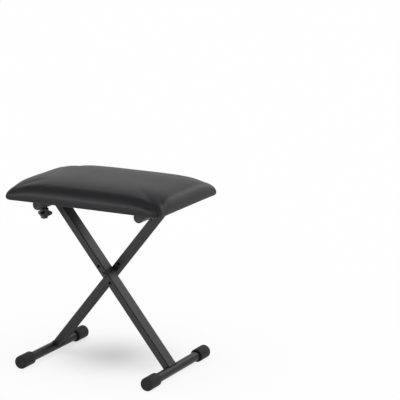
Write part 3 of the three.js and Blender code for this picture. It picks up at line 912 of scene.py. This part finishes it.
def cushion_rings(shrink):
    """The cushion's levels, drawn in by a shrink: the fold, the side, the shoulder and the crown."""
    base = cushion_low.z
    rings = []

    def level(inset, height):
        ring = seat_outline(inset + shrink)
        rings.append((ring, np.full(len(ring), base) + height))

    for further, height in FOLD_EDGE:
        level(FOLD_INSET - FOLD_CLEARANCE + further, height)
    for inset, share in FOLD_UNDERSIDE:
        level(inset, -CORNER_HANG * NEAR_CORNER * share)
    shoulder = seat_outline(SHOULDER_INSET)
    scale = top_height(shoulder[:, 0], shoulder[:, 1]) / SHOULDER_HEIGHT
    for step in range(SIDE_STEPS):
        angle = math.pi / 2 * step / SIDE_STEPS
        rise = 1 - math.cos(angle)
        hang = CORNER_HANG * NEAR_CORNER * (1 - rise)
        level(DRAW_IN * (1 - math.sin(angle)), SIDE_HEIGHT * scale * rise - hang)
    for step, (inset, height) in enumerate(SHOULDER_PROFILE):
        level(inset, height * scale - shrink * step / len(SHOULDER_PROFILE))
    for step in range(1, CROWN_STEPS):
        ring = seat_outline(SHOULDER_INSET + shrink) * (1 - step / CROWN_STEPS)
        rings.append((ring, base + top_height(ring[:, 0], ring[:, 1]) - shrink))
    for ring, heights in rings:
        above = heights > base
        fallen = base + (heights - base) * kept_height(ring[:, 0], ring[:, 1])
        heights[above] = fallen[above]
    return rings


def closed_form(rings):
    """Points and faces of a form made of rings, closed by a flat fan below and a fan above."""
    count = len(rings[0][0])
    points = [(x, y, z) for ring, heights in rings for (x, y), z in zip(ring, heights)]
    faces = tube_faces(len(rings), count, closed=False)
    last = (len(rings) - 1) * count
    points += [(0, 0, rings[0][1].mean()), (0, 0, rings[-1][1].max())]
    for i in range(count):
        k = (i + 1) % count
        faces.append((len(points) - 2, k, i))
        faces.append((last + i, last + k, len(points) - 1))
    return points, faces


# The foam presses the cover outwards: a cloth simulation on an even copy gives the swelling.

SIMULATION_CELL = 5 * MM
SIMULATION_FRAMES = 20
CLOTH = {
    "quality": 6,
    "mass": 0.4,
    "use_pressure": True,
    "uniform_pressure_force": 4.0,
    "tension_stiffness": 12,
    "compression_stiffness": 8,
    "shear_stiffness": 6,
    "bending_stiffness": 0.6,
}
START_SHRINK = 0.5 * MM
HELD_HEIGHT = 6 * MM
# The swelling is capped softly: a free one that is far over FREE_SWELL ends at SWELL.
SWELL = 2.2 * MM
FREE_SWELL = 9 * MM
CARRYING_POINTS = 8
CARRYING_BLUR = 1 * MM
# The swelling counts from one height over the underside, and in full above another.
LOOSE_FROM = 3 * MM
LOOSE_TO = 12 * MM


def rows(mesh, attribute):
    """An attribute of a mesh's vertices as rows of x, y and z."""
    values = np.empty(len(mesh.vertices) * 3)
    mesh.vertices.foreach_get(attribute, values)
    return values.reshape(-1, 3)


def swelling(points, faces):
    """Start points of an even copy of the cushion, and how far the pressed foam moves each."""
    mesh = bpy.data.meshes.new("foam_trial")
    mesh.from_pydata(points, [], faces)
    trial = in_scene("foam_trial", mesh)
    use_modifier(trial, "REMESH", mode="VOXEL", voxel_size=SIMULATION_CELL)
    start = rows(trial.data, "co")
    outwards = rows(trial.data, "normal")
    held = trial.vertex_groups.new(name="held")
    low = np.nonzero(start[:, 2] < cushion_low.z + HELD_HEIGHT)[0]
    held.add([int(i) for i in low], 1.0, "REPLACE")
    cloth = trial.modifiers.new("cloth", "CLOTH")
    for key, value in CLOTH.items():
        setattr(cloth.settings, key, value)
    cloth.settings.vertex_group_mass = "held"
    cloth.settings.effector_weights.gravity = 0
    cloth.point_cache.frame_end = SIMULATION_FRAMES
    for step in range(1, SIMULATION_FRAMES + 1):
        bpy.context.scene.frame_set(step)
    shaped = trial.evaluated_get(bpy.context.evaluated_depsgraph_get()).data
    swell = ((rows(shaped, "co") - start) * outwards).sum(axis=1, keepdims=True)
    bpy.context.scene.frame_set(1)
    bpy.data.objects.remove(trial)
    bpy.data.meshes.remove(mesh)
    return start, outwards * SWELL * np.tanh(swell / FREE_SWELL)


def carried_over(points, start, shift):
    """Gives each point the mean shift of the nearest start points."""
    tree = KDTree(len(start))
    for i, place in enumerate(start):
        tree.insert(place, i)
    tree.balance()
    result = np.zeros_like(points)
    for i, place in enumerate(points):
        found = tree.find_n(place, CARRYING_POINTS)
        weights = np.array([1 / (distance + CARRYING_BLUR) ** 2 for _, _, distance in found])
        members = [index for _, index, _ in found]
        result[i] = (shift[members] * weights[:, None]).sum(axis=0) / weights.sum()
    return result


# Each pleat: where it starts round the corner in degrees, its depth, and how high it runs.
PLEATS = ((43, 3.6 * MM, 27 * MM), (16, 2.0 * MM, 17 * MM), (70, 2.3 * MM, 21 * MM))
# It leans by so many degrees on its way up, and is shallower and wider towards its top.
PLEAT_LEAN = 16
PLEAT_FADE_POWER = 0.7
PLEAT_WIDTH = 1.2 * MM
PLEAT_WIDENING = 0.9
# The ridge beside it: its distance and width in widths of the pleat, and its height in depths.
RIDGE_DISTANCE = 2.4
RIDGE_WIDTH = 1.5
RIDGE_HEIGHT = 0.4
# No two corners have their pleats in the same place: degrees for the ends and for front and back.
ASKEW_ENDS = 3.5
ASKEW_SIDES = 2.5
# A pleat fades out towards the corner's middle, and under the seat it becomes a small lift.
PLEAT_FULL_RADIUS = 12 * MM
PLEAT_FOOT = 3 * MM
PLEAT_LIFT = 0.4
TINY = 1e-9  # keeps a length of 0 out of a division


def corner_pleats(points):
    """Folds in the cover at each corner: they run up from the bottom edge, lean over and fade out."""
    x = np.abs(points[:, 0]) - (SEAT_LENGTH / 2 - SEAT_CORNER)
    y = np.abs(points[:, 1]) - (SEAT_DEPTH / 2 - SEAT_CORNER)
    at_corner = (x > 0) & (y > 0)
    radius = np.hypot(x, y)
    turn = np.degrees(np.arctan2(np.where(at_corner, y, 0), np.where(at_corner, x, 1)))
    height = points[:, 2] - cushion_low.z
    askew = ASKEW_ENDS * np.sign(points[:, 0]) - ASKEW_SIDES * np.sign(points[:, 1])
    depth = np.zeros(len(points))
    for start, deep, top in PLEATS:
        fade = np.clip(1 - height / top, 0, 1) ** PLEAT_FADE_POWER
        away = np.radians(turn - start - askew - PLEAT_LEAN * height / top) * radius
        width = PLEAT_WIDTH * (1 + PLEAT_WIDENING - PLEAT_WIDENING * fade)
        fold = np.exp(-(away / width) ** 2)
        ridge = np.exp(-((away - RIDGE_DISTANCE * width) / (RIDGE_WIDTH * width)) ** 2)
        depth += deep * fade * (fold - RIDGE_HEIGHT * ridge)
    depth *= at_corner * np.clip(radius / PLEAT_FULL_RADIUS, 0, 1)
    outwards = np.stack([np.sign(points[:, 0]) * x, np.sign(points[:, 1]) * y], axis=1)
    outwards /= np.maximum(np.linalg.norm(outwards, axis=1, keepdims=True), TINY)
    under = np.clip(1 - height / PLEAT_FOOT, 0, 1)
    moved = points.copy()
    moved[:, :2] -= outwards * (depth * (1 - under))[:, None]
    moved[:, 2] += np.maximum(depth, 0) * under * PLEAT_LIFT
    return moved


def make_cushion():
    """The modelled form, swollen by the foam except under the board, with its pleats."""
    points, faces = closed_form(cushion_rings(START_SHRINK))
    shape = np.array([tuple(p) for p in points])
    start, shift = swelling(points, faces)
    full = np.array([tuple(p) for p in closed_form(cushion_rings(0))[0]])
    height = full[:, 2] - cushion_low.z
    loose = np.clip((height - LOOSE_FROM) / (LOOSE_TO - LOOSE_FROM), 0, 1)[:, None]
    swollen = shape + carried_over(shape, start, shift)
    shape = full * (1 - loose) + swollen * loose
    piece = new_piece("padded_seat", corner_pleats(shape), faces, "seat", "vinyl")
    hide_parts("seat_cushion")


make_cushion()


# Dust cover: a stretched sheet inside the folded edge, held by staples

COVER_MARGIN = 0.2 * MM
COVER_CELLS = (120, 80)
COVER_WAVE = 0.25 * MM
# The slack waves, along and across: radians a metre, and the bend with its own radians a metre.
WAVE_ALONG = (61, 2, 23)
WAVE_ACROSS = (47, 1.5, 17)
SLACK_POWER = 8
# The pull of the staples: small waves that only the edges have.
PULL = 0.8
PULL_LENGTH = 35 * MM
PULL_POWER = 10


def wave(place, other, shape):
    """A slow wave along one direction that bends with the other."""
    turns, bend, bend_turns = shape
    return math.sin(place * turns + bend * math.sin(other * bend_turns))


def cover_height(x, y, width, depth):
    """How far a point of the stretched cover lies over its plane."""
    end = abs(2 * x / width)
    side = abs(2 * y / depth)
    slack = (1 - end ** SLACK_POWER) * (1 - side ** SLACK_POWER)
    waves = wave(x, y, WAVE_ALONG) * wave(y, x, WAVE_ACROSS)
    pull = math.sin(math.tau * x / PULL_LENGTH) * side ** PULL_POWER
    pull += math.sin(math.tau * y / PULL_LENGTH) * end ** PULL_POWER
    return COVER_WAVE * (waves * slack + PULL * pull)


def dust_cover():
    """The sheet, and the width and depth that it was cut to."""
    low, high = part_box("seat_dust_cover")
    across, along = COVER_CELLS
    width = high.x - low.x - 2 * COVER_MARGIN
    depth = high.y - low.y - 2 * COVER_MARGIN
    height = (low.z + high.z) / 2
    points = []
    for j in range(along + 1):
        for i in range(across + 1):
            x = width * (i / across - 0.5)
            y = depth * (j / along - 0.5)
            points.append((x, y, height + cover_height(x, y, width, depth)))
    faces = []
    for j in range(along):
        for i in range(across):
            first = j * (across + 1) + i
            faces.append((first, first + across + 1, first + across + 2, first + 1))
    piece = new_piece("stretched_dust_cover", points, faces, "seat", "dust_cloth")
    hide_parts("seat_dust_cover")
    return piece, (width, depth)


STAPLE_LENGTH = 10 * MM
STAPLE_LEG = 3 * MM
STAPLE_BEND = 0.5 * MM
STAPLE_WIRE = 0.5 * MM
STAPLE_SIDES = 8
STAPLE_SINK = 0.4  # of the wire's thickness
STAPLE_SPACING = 34 * MM
STAPLE_FROM_CORNER = 20 * MM
STAPLE_INSET = 6 * MM
STAPLE_TURN = 0.22  # radians
STAPLE_STRAY = 1 * MM
COVER_STAPLE_HEIGHT = 0.9 * MM  # over the lower face of the cover's solid
COVER_STAPLE_SEED = 5
FOLD_STAPLE_SEED = 7


def staple_spots(inset):
    """Where the staples go round the seat, and the turn of each."""
    x = SEAT_LENGTH / 2 - inset
    y = SEAT_DEPTH / 2 - inset
    spots = []
    for half, other, upright in ((x, y, False), (y, x, True)):
        run = 2 * (half - STAPLE_FROM_CORNER)
        count = int(run / STAPLE_SPACING)
        for i in range(count + 1):
            along = (i / count - 0.5) * run
            for side in (-1, 1):
                spots.append((side * other, along, math.pi / 2) if upright else (along, side * other, 0))
    return spots


def staples(name, inset, height, seed):
    """A row of staples round the seat's underside, each a little askew."""
    chance = np.random.default_rng(seed)
    points, faces = [], []
    half = STAPLE_LENGTH / 2
    back = height - STAPLE_WIRE * STAPLE_SINK
    bends = [(half, STAPLE_LEG), (half, STAPLE_BEND), (half - STAPLE_BEND, 0)]
    wire = [(-run, rise) for run, rise in bends] + bends[::-1]
    for cx, cy, turn in staple_spots(inset):
        turn += chance.uniform(-STAPLE_TURN, STAPLE_TURN)
        cx += chance.uniform(-1, 1) * STAPLE_STRAY
        cy += chance.uniform(-1, 1) * STAPLE_STRAY
        c, s = math.cos(turn), math.sin(turn)
        path = [(cx + c * run, cy + s * run, back + rise) for run, rise in wire]
        wire_points, wire_faces = swept(path, [STAPLE_WIRE / 2] * len(path), STAPLE_SIDES)
        faces += [tuple(len(points) + i for i in face) for face in wire_faces]
        points += wire_points
    return new_piece(name, points, faces, "seat", "zinc_steel")


cover, cover_size = dust_cover()
cover_staple_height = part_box("seat_dust_cover")[0].z + COVER_STAPLE_HEIGHT
cover_staple_inset = FOLD_INSET + STAPLE_INSET
cover_staples = staples("cover_staples", cover_staple_inset, cover_staple_height, COVER_STAPLE_SEED)
staples("fold_staples", FOLD_INSET - STAPLE_INSET, cushion_low.z, FOLD_STAPLE_SEED)
